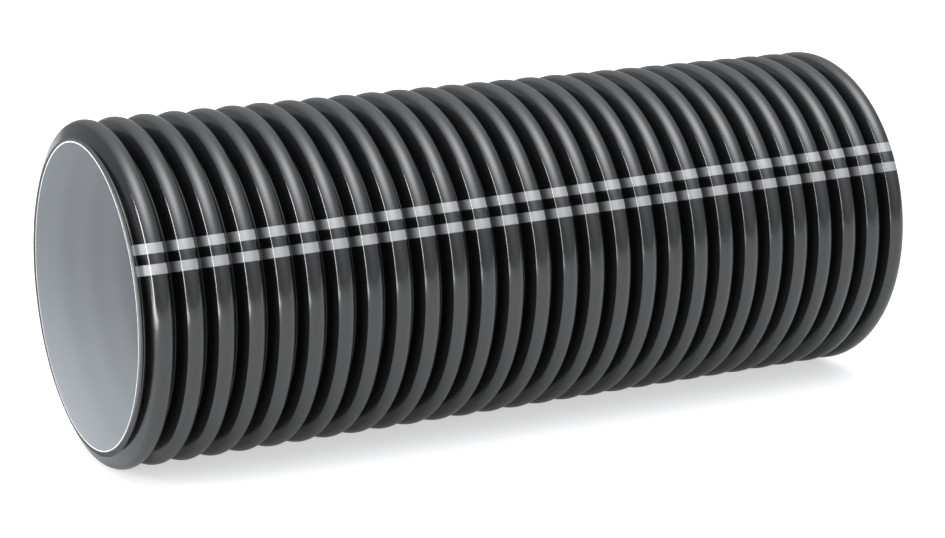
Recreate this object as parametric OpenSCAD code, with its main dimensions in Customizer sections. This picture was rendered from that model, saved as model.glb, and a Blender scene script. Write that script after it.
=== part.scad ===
// Short length of corrugated twin-wall drainage pipe, lying on its ribs.
// The outer wall is a corrugated tube with hollow ribs. A smooth, thin liner is
// welded to it in every valley, so each rib closes a ring-shaped chamber.
// The pipe lies along X with its ribs on the ground plane. Its far end is sawn
// square through a valley. Its near end is sawn a little off square, so the cut
// wanders from the flank of the first rib into the rib that was sawn away, and
// leaves a flared lip there with a slit between the lip and the liner.

/* [Bore and liner] */
// Inside diameter of the smooth liner
bore_d = 176; // [120:1:300]
// Thickness of the liner
liner_t = 1.1; // [0.8:0.1:2.5]

/* [Ribs] */
// Number of ribs along the pipe
rib_count = 28; // [3:1:40]
// Distance from one rib to the next
rib_pitch = 18; // [16:0.1:30]
// Height of the crests above the outside of the liner
rib_height = 10.9; // [8:0.1:14]
// Width of the top of a crest, between the lines of its bevels before they are rounded
crest_w = 4; // [3:0.1:7]
// Width of the floor of a valley, between the lines of its two flanks
valley_w = 1; // [0.8:0.1:2]
// Radius that rounds the foot of a flank into the valley
foot_r = 0.6; // [0.3:0.1:0.9]

/* [Crest bevels] */
// Width, along the pipe, of the bevel on each side of a crest
bevel_w = 2.8; // [2:0.1:3.5]
// Depth of a bevel's lower edge below the crest
bevel_drop = 2; // [1.5:0.1:3]
// Radius that rounds the upper edge of a bevel into the crest
crest_edge_r = 4; // [1:0.1:5]
// Radius that rounds the lower edge of a bevel into the flank
knee_r = 1; // [0.4:0.1:4]

/* [Corrugated wall] */
// Thickness of the crests and flanks
rib_wall_t = 1.2; // [0.8:0.1:1.4]
// Thickness of the outer wall in the valleys, outside the liner
valley_wall_t = 1; // [0.7:0.1:2]

/* [Sawn ends] */
// Distance from the first rib's foot to the near cut, at the height of the axis
near_land = 1; // [0:0.1:2]
// How far the near cut is off square, in degrees
saw_tilt = 1.3; // [0:0.1:2]
// Distance from the last rib's foot to the far cut
far_land = 0.8; // [0.7:0.1:3]

/* [Hidden] */

// Facets round the pipe, and steps in each rounded corner of its profile
$fn = 120;
corner_steps = 3;

bore_r = bore_d / 2;
liner_r = bore_r + liner_t;
valley_r = liner_r + valley_wall_t;
crest_r = liner_r + rib_height;

// Corners of half a rib's outside, as radius and distance from the rib's middle
crest_mid = [crest_r, 0];
crest_edge = [crest_r, crest_w / 2];
knee = [crest_r - bevel_drop, crest_w / 2 + bevel_w];
foot = [valley_r, (rib_pitch - valley_w) / 2];
floor_point = [valley_r, rib_pitch / 2];

// Distance from the middle of the first or last rib to the cut beside it, along the axis
near_reach = foot[1] + near_land;
far_reach = foot[1] + far_land;

// The near cut reaches furthest where it meets the flank of the rib that was sawn away
flank_rise = (knee[0] - foot[0]) / (foot[1] - knee[1]);
lip_start = rib_pitch - foot[1];
floor_longest = near_reach + valley_r * tan(saw_tilt);
lip_longest = (near_reach + (valley_r - lip_start * flank_rise) * tan(saw_tilt))
    / (1 - flank_rise * tan(saw_tilt));
near_longest = max(floor_longest, lip_longest);

rib_span = (rib_count - 1) * rib_pitch;
pipe_len = near_longest + rib_span + far_reach;

// The stock has one more rib than the pipe, and starts in the middle of the valley before it
stock_start = -1.5 * rib_pitch;
stock_len = rib_span + far_reach - stock_start;

function unit(v) = v / norm(v);
function turned(v, a) = [v[0] * cos(a) - v[1] * sin(a), v[0] * sin(a) + v[1] * cos(a)];
function angle_between(a, b) = atan2(a[0] * b[1] - a[1] * b[0], a[0] * b[0] + a[1] * b[1]);

// Points that round a corner of an outline with a radius
function rounded(before, corner, after, radius) =
    let (
        way_in = unit(corner - before),
        turn = angle_between(way_in, unit(after - corner)),
        start = corner - way_in * radius * abs(tan(turn / 2)),
        to_centre = radius * sign(turn) * turned(way_in, 90)
    )
    [for (i = [0:corner_steps]) start + to_centre - turned(to_centre, turn * i / corner_steps)];

// Normal of the line from one point to the next, towards the inside of the rib
function inward(from, to) = turned(unit(to - from), -90);

// A corner moved to the inside of the rib by the thickness of its wall
function inset(before, corner, after) =
    let (
        a = inward(before, corner),
        b = inward(corner, after)
    )
    corner + rib_wall_t * (a + b) / (1 + a * b);

// One side of a rib's outside, from the valley up to the crest
rib_side = concat(
    rounded(floor_point, foot, knee, foot_r),
    rounded(foot, knee, crest_edge, knee_r),
    rounded(knee, crest_edge, crest_mid, crest_edge_r)
);

// One side of the chamber inside a rib, from the liner up to the crest
chamber_knee = inset(foot, knee, crest_edge);
chamber_edge = inset(knee, crest_edge, crest_mid);
chamber_foot = [liner_r, chamber_knee[1] + (chamber_knee[0] - liner_r) / flank_rise];
chamber_side = [chamber_foot, chamber_knee, chamber_edge];

function reversed(points) = [for (i = [len(points) - 1:-1:0]) points[i]];

// Both sides of an outline, in order along the pipe
function both_sides(side) = concat(
    [for (p = side) [p[0], -p[1]]],
    reversed(side)
);

// The same outline at every rib of the stock, with the first rib of the pipe at zero
function at_each_rib(side) = [
    for (n = [-1:rib_count - 1], p = both_sides(side))
        [p[0], p[1] + n * rib_pitch]
];

// The section of the corrugated wall on one side of the pipe's axis
module wall_section() {
    stock_end = rib_span + far_reach;
    polygon(concat(
        [[liner_r, stock_start], [valley_r, stock_start]],
        at_each_rib(rib_side),
        [[valley_r, stock_end], [liner_r, stock_end]],
        reversed(at_each_rib(chamber_side))
    ));
}

// What the near saw cut takes off the stock, drawn like it from the first rib's middle
module offcut() {
    size = 3 * crest_r;
    translate([0, 0, -near_reach])
        rotate([saw_tilt, 0, 0])
            translate([-size / 2, -size / 2, -size])
                cube(size);
}

// Lays stock that was drawn standing on its end down along X, and centres the pipe
module lying() {
    translate([near_longest - pipe_len / 2, 0, crest_r])
        rotate([0, 90, 0])
            children();
}

module outer_wall() {
    color([0.07, 0.07, 0.075])
        lying()
            difference() {
                rotate_extrude()
                    wall_section();
                offcut();
            }
}

module inner_liner() {
    color([0.66, 0.67, 0.68])
        lying()
            difference() {
                rotate_extrude()
                    translate([bore_r, stock_start])
                        square([liner_t, stock_len]);
                offcut();
            }
}

outer_wall();
inner_liner();
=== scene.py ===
"""Looks of a short length of black corrugated drainage pipe with a light grey liner.

The pipe lies along X. Angles round it are counted from the side that the camera
sees, upwards, and every length is in metres.
"""

import math

import bmesh
import bpy
from mathutils import Matrix, Vector


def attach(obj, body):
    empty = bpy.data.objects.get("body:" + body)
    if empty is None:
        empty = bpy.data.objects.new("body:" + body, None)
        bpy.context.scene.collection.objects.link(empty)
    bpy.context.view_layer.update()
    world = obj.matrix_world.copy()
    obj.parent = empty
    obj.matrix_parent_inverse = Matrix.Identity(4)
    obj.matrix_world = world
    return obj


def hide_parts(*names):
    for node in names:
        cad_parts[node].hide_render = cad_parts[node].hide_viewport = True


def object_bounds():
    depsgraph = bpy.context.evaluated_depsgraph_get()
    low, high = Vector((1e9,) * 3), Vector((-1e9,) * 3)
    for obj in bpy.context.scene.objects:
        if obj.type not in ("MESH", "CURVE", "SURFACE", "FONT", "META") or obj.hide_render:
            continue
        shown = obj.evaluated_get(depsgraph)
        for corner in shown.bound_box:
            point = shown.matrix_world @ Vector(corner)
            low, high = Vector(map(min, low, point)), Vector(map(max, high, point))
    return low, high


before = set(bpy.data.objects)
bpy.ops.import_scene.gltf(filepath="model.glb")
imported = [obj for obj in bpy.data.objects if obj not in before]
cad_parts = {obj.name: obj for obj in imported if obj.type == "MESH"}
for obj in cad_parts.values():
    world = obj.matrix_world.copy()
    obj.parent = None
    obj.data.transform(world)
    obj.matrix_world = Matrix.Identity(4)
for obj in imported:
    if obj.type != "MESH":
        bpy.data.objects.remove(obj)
cad_low, cad_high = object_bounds()

# Sizes of the pipe, as in the part's source
CREST_R = (cad_high.z - cad_low.z) / 2
RIB_HEIGHT = 0.0109
LINER_T = 0.0011
VALLEY_WALL_T = 0.001
RIB_WALL_T = 0.0012
LINER_R = CREST_R - RIB_HEIGHT
BORE_R = LINER_R - LINER_T
VALLEY_R = LINER_R + VALLEY_WALL_T
RIB_COUNT = 28
RIB_PITCH = 0.018
CREST_W = 0.004
VALLEY_W = 0.001
BEVEL_W = 0.0028
BEVEL_DROP = 0.002
FOOT_R = 0.0006
NEAR_LAND = 0.001
FAR_LAND = 0.0008
SAW_TILT = math.radians(1.3)

# The knees are rounded more than in the part's source, so that their bright line shows
KNEE_R = 0.002

# Half a rib's outside, as corners with distance from the rib's middle and radius
CREST_MID = Vector((0, CREST_R))
CREST_EDGE = Vector((CREST_W / 2, CREST_R))
KNEE_X = CREST_W / 2 + BEVEL_W
CROWN_R = (KNEE_X ** 2 + BEVEL_DROP ** 2) / (2 * BEVEL_DROP)
KNEE = Vector((KNEE_X, CREST_R - BEVEL_DROP))
FOOT = Vector(((RIB_PITCH - VALLEY_W) / 2, VALLEY_R))
FLOOR_POINT = Vector((RIB_PITCH / 2, VALLEY_R))

# Places along the pipe, and the plane of the saw cut at its near end
AXIS_HEIGHT = CREST_R
FAR_END = cad_high.x
FIRST_RIB = FAR_END - FAR_LAND - FOOT.x - (RIB_COUNT - 1) * RIB_PITCH
CUT_PLACE = Vector((FIRST_RIB - FOOT.x - NEAR_LAND, 0, AXIS_HEIGHT))
CUT_NORMAL = Vector((-math.cos(SAW_TILT), math.sin(SAW_TILT), 0))
STOCK_START = FIRST_RIB - 1.5 * RIB_PITCH

# How finely the turned walls are made
SEGMENTS = 150
CORNER_STEPS = 2
CROWN_STEPS = 5
SHARP_ANGLE = math.radians(60)
LINER_STEPS_PER_RIB = 8

# How far the bore swells inwards at each valley
LINER_RIPPLE = 0.00012

# Stripes, as heights above the axis measured square to a look from above the side
STRIPE_LOOK = math.radians(15)
STRIPE_WIDTH = 0.0057
STRIPE_BLUR = 0.0002
STRIPES_AT_FIRST_RIB = (0.01055, 0.02204)
STRIPES_AT_LAST_RIB = (0.01797, 0.03032)

# Depths below the knees where the painted shade in the valleys starts and where it is deepest
VALLEY_SHADE_START = 0.0008
VALLEY_SHADE_END = 0.006

# Width of a painted highlight along the inner edge of the liner's sawn face, and how far it
# fades into the dark outside it
PAINTED_HIGHLIGHT_WIDTH = 0.0002
PAINTED_HIGHLIGHT_FADE = 0.0003

# The camera's place, the point that it looks at, and its lens
CAMERA_PLACE = (-0.7437, -1.3765, 0.4802)
CAMERA_AIM = (-0.002, 0, 0.0865)
CAMERA_LENS = 100.64

# The pale floor, and its glow as the camera and the reflections see it
FLOOR_SIZE = 12
FLOOR_GLOW_SEEN = 0.58
FLOOR_GLOW_REFLECTED = 0.18

# The surroundings' even light, and soft glows in it as direction, peak and sharpness
ROOM_LIGHT = 0.32
WORLD_GLOWS = (
    ((-0.08, -0.28, 0.95), 4.6, 9.0),
    ((0.1, 0.25, 0.95), 0.85, 3.0),
    ((0.3, -0.9, 0.3), 0.35, 4.0),
)

# Two panels of light left of the near end, one leaning there and one lying on the floor
STRIP_PLACE = (-2.2, -0.17, 0.62)
STRIP_AIM = (0, 0, 0.1)
STRIP_ALONG = (0, 0.56, 0.83)
STRIP_SIZE = (0.8, 1.45)
STRIP_POWER = 50
PANEL_PLACE = (-1.6, -0.3, 0.002)
PANEL_AIM = (-1.6, -0.3, 1)
PANEL_ALONG = (1, 0, 0)
PANEL_SIZE = (0.9, 1.7)
PANEL_POWER = 40


def rounded(before, corner, after, radius):
    """Points that round a corner of an outline with a radius."""
    way_in = (corner - before).normalized()
    way_out = (after - corner).normalized()
    turn = math.atan2(way_in.x * way_out.y - way_in.y * way_out.x, way_in.dot(way_out))
    start = corner - way_in * radius * abs(math.tan(turn / 2))
    side = math.copysign(radius, turn)
    to_centre = Vector((-way_in.y, way_in.x)) * side
    points = []
    for step in range(CORNER_STEPS + 1):
        angle = turn * step / CORNER_STEPS
        spoke = Vector((
            to_centre.x * math.cos(angle) - to_centre.y * math.sin(angle),
            to_centre.x * math.sin(angle) + to_centre.y * math.cos(angle),
        ))
        points.append(start + to_centre - spoke)
    return points


def inset(before, corner, after):
    """A corner moved to the inside of the rib by the thickness of its wall."""
    normals = []
    for start, end in ((before, corner), (corner, after)):
        way = (end - start).normalized()
        normals.append(Vector((-way.y, way.x)))
    first, second = normals
    return corner + RIB_WALL_T * (first + second) / (1 + first.dot(second))


def rib_side():
    """One side of a rib, from the valley up its flank and along its crowned crest."""
    crown = []
    for step in range(1, CROWN_STEPS + 1):
        x = KNEE.x * (1 - step / CROWN_STEPS)
        crown.append(Vector((x, CREST_R - CROWN_R + math.sqrt(CROWN_R ** 2 - x ** 2))))
    flank = rounded(FLOOR_POINT, FOOT, KNEE, FOOT_R) + rounded(FOOT, KNEE, crown[0], KNEE_R)
    return flank + crown


def chamber_side():
    """One side of the chamber inside a rib, from the liner up to the crest."""
    chamber_knee = inset(FOOT, KNEE, CREST_EDGE)
    chamber_edge = inset(KNEE, CREST_EDGE, CREST_MID)
    flank_run = (FOOT.x - KNEE.x) / (KNEE.y - FOOT.y)
    foot_x = chamber_knee.x + (chamber_knee.y - LINER_R) * flank_run
    return [Vector((foot_x, LINER_R)), chamber_knee, chamber_edge]


def both_sides(side, middle):
    """Both sides of a rib's outline, in order along the pipe."""
    near = [(middle - p.x, p.y) for p in side]
    far = [(middle + p.x, p.y) for p in reversed(side) if p.x > 0]
    return near + far


def wall_outline():
    """The outside of the corrugated wall along the stock, then back along the liner.

    The stock has one more rib than the pipe. Only the two ribs that the saw opens
    have their chambers.
    """
    points = [(STOCK_START, VALLEY_R)]
    for rib in range(-1, RIB_COUNT):
        points += both_sides(rib_side(), FIRST_RIB + rib * RIB_PITCH)
    points += [(FAR_END, VALLEY_R), (FAR_END, LINER_R)]
    for rib in (0, -1):
        points += reversed(both_sides(chamber_side(), FIRST_RIB + rib * RIB_PITCH))
    points += [(STOCK_START, LINER_R)]
    return points


def liner_outline():
    """The faintly rippled bore along the stock, then back along the outside of the liner."""
    step = RIB_PITCH / LINER_STEPS_PER_RIB
    steps = round((FAR_END - STOCK_START) / step)
    points = []
    for i in range(steps + 1):
        x = STOCK_START + (FAR_END - STOCK_START) * i / steps
        wave = math.cos(math.tau * (x - FIRST_RIB) / RIB_PITCH)
        points.append((x, BORE_R - LINER_RIPPLE * (1 - wave) / 2))
    points += [(FAR_END, LINER_R), (STOCK_START, LINER_R)]
    return points


def turned(name, outline):
    """A ring-shaped solid made by turning an outline of (x, radius) points about the axis."""
    vertices = []
    for x, radius in outline:
        for i in range(SEGMENTS):
            angle = math.tau * i / SEGMENTS
            y = -radius * math.cos(angle)
            z = AXIS_HEIGHT + radius * math.sin(angle)
            vertices.append((x, y, z))
    faces = []
    rings = len(outline)
    for ring in range(rings):
        here = ring * SEGMENTS
        there = (ring + 1) % rings * SEGMENTS
        for i in range(SEGMENTS):
            j = (i + 1) % SEGMENTS
            faces.append((here + i, here + j, there + j, there + i))
    mesh = bpy.data.meshes.new(name)
    mesh.from_pydata(vertices, [], faces)
    mesh.validate()
    mesh.update()
    piece = bpy.data.objects.new(name, mesh)
    bpy.context.scene.collection.objects.link(piece)
    return piece


def saw_near_end(piece):
    """Saws a turned wall off slantwise, and closes the cut with faces of the second material."""
    work = bmesh.new()
    work.from_mesh(piece.data)
    everything = work.verts[:] + work.edges[:] + work.faces[:]
    cut = bmesh.ops.bisect_plane(
        work, geom=everything, plane_co=CUT_PLACE, plane_no=CUT_NORMAL, clear_outer=True
    )
    rim = [part for part in cut["geom_cut"] if isinstance(part, bmesh.types.BMEdge)]
    for edge in rim:
        edge.smooth = False
    cap = bmesh.ops.triangle_fill(work, edges=rim, use_beauty=True, normal=CUT_NORMAL)
    for part in cap["geom"]:
        if isinstance(part, bmesh.types.BMFace):
            part.material_index = 1
    bmesh.ops.recalc_face_normals(work, faces=work.faces)
    work.to_mesh(piece.data)
    work.free()


def keep_flats(piece):
    """Sharp edges past an angle, and normals that leave the wide faces their own."""
    bpy.context.view_layer.objects.active = piece
    piece.select_set(True)
    bpy.ops.object.shade_smooth_by_angle(angle=SHARP_ANGLE, keep_sharp_edges=True)
    piece.select_set(False)
    weighted = piece.modifiers.new("weighted normals", "WEIGHTED_NORMAL")
    weighted.keep_sharp = True


class Nodes:
    """A few short ways to build the node tree of a material or of the world."""

    def __init__(self, owner, output):
        self.owner = owner
        owner.use_nodes = True
        self.tree = owner.node_tree
        self.tree.nodes.clear()
        self.output = self.add(output)

    def add(self, kind, **settings):
        node = self.tree.nodes.new(kind)
        for key, value in settings.items():
            setattr(node, key, value)
        return node

    def feed(self, socket, value):
        if isinstance(value, bpy.types.NodeSocket):
            self.tree.links.new(value, socket)
        else:
            socket.default_value = value

    def math(self, operation, first, second=0.0, third=0.0, clamp=False):
        node = self.add("ShaderNodeMath", operation=operation, use_clamp=clamp)
        for socket, value in zip(node.inputs, (first, second, third)):
            self.feed(socket, value)
        return node.outputs[0]

    def place(self):
        return self.add("ShaderNodeTexCoord").outputs["Object"]

    def split(self, vector):
        node = self.add("ShaderNodeSeparateXYZ")
        self.feed(node.inputs[0], vector)
        return node.outputs

    def join(self, x, y, z):
        node = self.add("ShaderNodeCombineXYZ")
        for socket, value in zip(node.inputs, (x, y, z)):
            self.feed(socket, value)
        return node.outputs[0]

    def noise(self, vector, scale, detail=2.0, roughness=0.5):
        node = self.add("ShaderNodeTexNoise")
        self.feed(node.inputs["Vector"], vector)
        node.inputs["Scale"].default_value = scale
        node.inputs["Detail"].default_value = detail
        node.inputs["Roughness"].default_value = roughness
        return node.outputs[0]

    def between(self, value, low, high, to_low=0.0, to_high=1.0, smooth=False):
        node = self.add("ShaderNodeMapRange")
        node.interpolation_type = "SMOOTHSTEP" if smooth else "LINEAR"
        for socket, given in zip(node.inputs, (value, low, high, to_low, to_high)):
            self.feed(socket, given)
        return node.outputs[0]

    def mix(self, share, first, second):
        node = self.add("ShaderNodeMix", data_type="RGBA")
        self.feed(node.inputs[0], share)
        self.feed(node.inputs[6], first)
        self.feed(node.inputs[7], second)
        return node.outputs[2]

    def bump(self, height, distance, strength=1.0):
        node = self.add("ShaderNodeBump")
        self.feed(node.inputs["Height"], height)
        node.inputs["Distance"].default_value = distance
        node.inputs["Strength"].default_value = strength
        return node.outputs[0]

    def principled(self, **values):
        node = self.add("ShaderNodeBsdfPrincipled")
        for key, value in values.items():
            self.feed(node.inputs[key.replace("_", " ")], value)
        self.tree.links.new(node.outputs[0], self.output.inputs[0])
        return node


def material_nodes(name):
    return Nodes(bpy.data.materials.new(name), "ShaderNodeOutputMaterial")


def distance_from_axis(nodes, y, z):
    up = nodes.math("SUBTRACT", z, AXIS_HEIGHT)
    squares = nodes.math("ADD", nodes.math("MULTIPLY", y, y), nodes.math("MULTIPLY", up, up))
    return nodes.math("SQRT", squares)


def stripe_share(nodes, x, y, z):
    """One inside the two grey stripes and nothing outside them."""
    up = nodes.math("MULTIPLY", nodes.math("SUBTRACT", z, AXIS_HEIGHT), math.cos(STRIPE_LOOK))
    back = nodes.math("MULTIPLY", y, math.sin(STRIPE_LOOK))
    height = nodes.math("ADD", up, back)
    last_rib = FIRST_RIB + (RIB_COUNT - 1) * RIB_PITCH
    edge_start = STRIPE_WIDTH / 2 - STRIPE_BLUR
    edge_end = STRIPE_WIDTH / 2 + STRIPE_BLUR
    share = 0.0
    for first, last in zip(STRIPES_AT_FIRST_RIB, STRIPES_AT_LAST_RIB):
        middle = nodes.between(x, FIRST_RIB, last_rib, first, last)
        off = nodes.math("ABSOLUTE", nodes.math("SUBTRACT", height, middle))
        inside = nodes.between(off, edge_start, edge_end, 1.0, 0.0, smooth=True)
        share = nodes.math("ADD", share, inside, clamp=True)
    camera_side = nodes.math("LESS_THAN", y, 0.0)
    return nodes.math("MULTIPLY", share, camera_side)


def crest_share(nodes, x, y, z):
    """One on the crests and before the first one, falling to nothing in the valleys, where shade
    is painted.
    """
    radius = distance_from_axis(nodes, y, z)
    crest = nodes.between(radius, KNEE.y - VALLEY_SHADE_END, KNEE.y - VALLEY_SHADE_START, smooth=True)
    return nodes.math("MAXIMUM", crest, nodes.math("LESS_THAN", x, FIRST_RIB))


def wall_plastic():
    """Satin black extruded plastic with two thin grey stripes, and painted shade in the valleys.
    """
    nodes = material_nodes("wall_plastic")
    place = nodes.place()
    x, y, z = nodes.split(place)
    stripe = stripe_share(nodes, x, y, z)
    mottle = nodes.noise(place, 90.0, 3.0)
    crest = crest_share(nodes, x, y, z)
    black = nodes.mix(mottle, (0.002, 0.002, 0.0022, 1), (0.004, 0.004, 0.0044, 1))
    grey = nodes.mix(mottle, (0.25, 0.25, 0.255, 1), (0.31, 0.31, 0.315, 1))
    # Painted shade: the stripes' grey darkens towards near black in the valleys
    grey_with_painted_shade = nodes.mix(crest, (0.06, 0.06, 0.062, 1), grey)
    colour = nodes.mix(stripe, black, grey_with_painted_shade)
    grain = nodes.noise(place, 900.0, 2.0)
    roughness = nodes.between(nodes.noise(place, 260.0, 3.0), 0.3, 0.7, 0.15, 0.21)
    # Painted shade: the plastic reflects less in the valleys than on the crests
    nodes.principled(
        Base_Color=colour,
        Roughness=roughness,
        IOR=1.5,
        Specular_IOR_Level=nodes.between(crest, 0.0, 1.0, 0.3, 1.0),
        Normal=nodes.bump(grain, 0.00002, 0.5),
    )
    return nodes.owner


def liner_plastic():
    """Smooth light grey plastic with faint bands round the bore."""
    nodes = material_nodes("liner_plastic")
    x, y, z = nodes.split(nodes.place())
    bands = nodes.noise(nodes.join(x, nodes.math("MULTIPLY", y, 0.08), 0.0), 45.0, 1.0)
    colour = nodes.mix(bands, (0.31, 0.325, 0.345, 1), (0.44, 0.455, 0.475, 1))
    nodes.principled(
        Base_Color=colour,
        Roughness=0.35,
        IOR=1.5,
    )
    return nodes.owner


def sawn_wall_plastic():
    """The rough dark face that a saw leaves on the wall, with fine scratches."""
    nodes = material_nodes("sawn_wall")
    place = nodes.place()
    x, y, z = nodes.split(place)
    scratches = nodes.noise(nodes.join(x, nodes.math("MULTIPLY", y, 0.1), z), 1500.0, 2.0)
    colour = nodes.mix(scratches, (0.008, 0.008, 0.009, 1), (0.03, 0.03, 0.032, 1))
    nodes.principled(
        Base_Color=colour,
        Roughness=0.7,
        Normal=nodes.bump(scratches, 0.0001, 0.6),
    )
    return nodes.owner


def sawn_liner_plastic():
    """The liner's sawn face, with a painted highlight along its inner edge and dark outside
    that.
    """
    nodes = material_nodes("sawn_liner")
    place = nodes.place()
    x, y, z = nodes.split(place)
    highlight_end = BORE_R + PAINTED_HIGHLIGHT_WIDTH
    dark_share = nodes.between(distance_from_axis(nodes, y, z), highlight_end, highlight_end + PAINTED_HIGHLIGHT_FADE)
    # A painted highlight along the inner edge of the sawn face, dark outside it
    colour = nodes.mix(dark_share, (0.86, 0.87, 0.88, 1), (0.05, 0.05, 0.052, 1))
    nodes.principled(
        Base_Color=colour,
        Roughness=0.6,
        Normal=nodes.bump(nodes.noise(place, 1500.0, 2.0), 0.0001, 0.5),
    )
    return nodes.owner


def dress(piece, plastic, sawn_face, node):
    """Gives a turned wall its materials and its sawn end, and puts it in place of a CAD node."""
    piece.data.materials.append(plastic)
    piece.data.materials.append(sawn_face)
    saw_near_end(piece)
    keep_flats(piece)
    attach(piece, "root")
    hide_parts(node)


def build_pipe():
    wall = turned("corrugated_wall", wall_outline())
    dress(wall, wall_plastic(), sawn_wall_plastic(), "outer_wall")
    liner = turned("smooth_liner", liner_outline())
    dress(liner, liner_plastic(), sawn_liner_plastic(), "inner_liner")


def floor_glow(nodes):
    """A glow that only the camera and, more weakly, the reflections see."""
    light_path = nodes.add("ShaderNodeLightPath")
    seen = nodes.math("MULTIPLY", light_path.outputs["Is Camera Ray"], FLOOR_GLOW_SEEN)
    reflected = nodes.math(
        "MULTIPLY", light_path.outputs["Is Glossy Ray"], FLOOR_GLOW_REFLECTED
    )
    return nodes.math("ADD", seen, reflected)


def pale_floor():
    """A pale grey floor that looks white to the camera and keeps the pipe's shadow."""
    nodes = material_nodes("pale_floor")
    grain = nodes.noise(nodes.place(), 40.0)
    shade = nodes.mix(grain, (0.56, 0.56, 0.56, 1), (0.58, 0.58, 0.58, 1))
    paint = nodes.add("ShaderNodeBsdfDiffuse")
    nodes.feed(paint.inputs["Color"], shade)
    glow = nodes.add("ShaderNodeEmission")
    glow.inputs["Color"].default_value = (1, 1, 1, 1)
    nodes.feed(glow.inputs["Strength"], floor_glow(nodes))
    both = nodes.add("ShaderNodeAddShader")
    nodes.feed(both.inputs[0], paint.outputs[0])
    nodes.feed(both.inputs[1], glow.outputs[0])
    nodes.feed(nodes.output.inputs[0], both.outputs[0])
    return nodes.owner


def build_floor():
    bpy.ops.mesh.primitive_plane_add(size=FLOOR_SIZE, location=(0, 0, 0))
    floor = bpy.context.object
    floor.name = "floor"
    floor.data.materials.append(pale_floor())


def soft_light(name, place, aim, along, size, power):
    """A rectangle of light that faces a point, with its long side along a direction."""
    data = bpy.data.lights.new(name, "AREA")
    data.shape = "RECTANGLE"
    data.size, data.size_y = size
    data.energy = power
    light = bpy.data.objects.new(name, data)
    light.location = place
    back = (Vector(place) - Vector(aim)).normalized()
    side = Vector(along).cross(back).normalized()
    turn = Matrix((side, back.cross(side), back)).transposed()
    light.rotation_euler = turn.to_euler()
    bpy.context.scene.collection.objects.link(light)


def build_lights():
    soft_light("left_strip", STRIP_PLACE, STRIP_AIM, STRIP_ALONG, STRIP_SIZE, STRIP_POWER)
    soft_light("floor_panel", PANEL_PLACE, PANEL_AIM, PANEL_ALONG, PANEL_SIZE, PANEL_POWER)


def glow_towards(nodes, direction, towards, peak, sharpness):
    """A soft round glow in the surroundings, as a brightness for each direction."""
    dot = nodes.add("ShaderNodeVectorMath", operation="DOT_PRODUCT")
    nodes.feed(dot.inputs[0], direction)
    nodes.feed(dot.inputs[1], Vector(towards).normalized())
    off_peak = nodes.math("SUBTRACT", dot.outputs["Value"], 1.0)
    falloff = nodes.math("EXPONENT", nodes.math("MULTIPLY", off_peak, sharpness))
    return nodes.math("MULTIPLY", falloff, peak)


def background(nodes, colour, strength):
    shader = nodes.add("ShaderNodeBackground")
    nodes.feed(shader.inputs["Color"], colour)
    nodes.feed(shader.inputs["Strength"], strength)
    return shader.outputs[0]


def build_world():
    """A pale studio with a strong soft light overhead and weaker ones behind and in front.

    The camera itself sees plain white.
    """
    world = bpy.data.worlds.new("studio")
    bpy.context.scene.world = world
    nodes = Nodes(world, "ShaderNodeOutputWorld")
    direction = nodes.add("ShaderNodeTexCoord").outputs["Generated"]
    brightness = ROOM_LIGHT
    for towards, peak, sharpness in WORLD_GLOWS:
        glow = glow_towards(nodes, direction, towards, peak, sharpness)
        brightness = nodes.math("ADD", glow, brightness)
    around = background(nodes, (0.94, 0.97, 1, 1), brightness)
    seen = background(nodes, (1, 1, 1, 1), 1.0)
    mix = nodes.add("ShaderNodeMixShader")
    nodes.feed(mix.inputs[0], nodes.add("ShaderNodeLightPath").outputs["Is Camera Ray"])
    nodes.feed(mix.inputs[1], around)
    nodes.feed(mix.inputs[2], seen)
    nodes.feed(nodes.output.inputs[0], mix.outputs[0])


def build_camera():
    data = bpy.data.cameras.new("camera")
    data.lens = CAMERA_LENS
    camera = bpy.data.objects.new("camera", data)
    camera.location = CAMERA_PLACE
    towards = Vector(CAMERA_AIM) - Vector(CAMERA_PLACE)
    camera.rotation_euler = towards.to_track_quat("-Z", "Y").to_euler()
    bpy.context.scene.collection.objects.link(camera)
    bpy.context.scene.camera = camera


build_pipe()
build_floor()
build_lights()
build_world()
build_camera()
bpy.context.scene.view_settings.view_transform = "Standard"
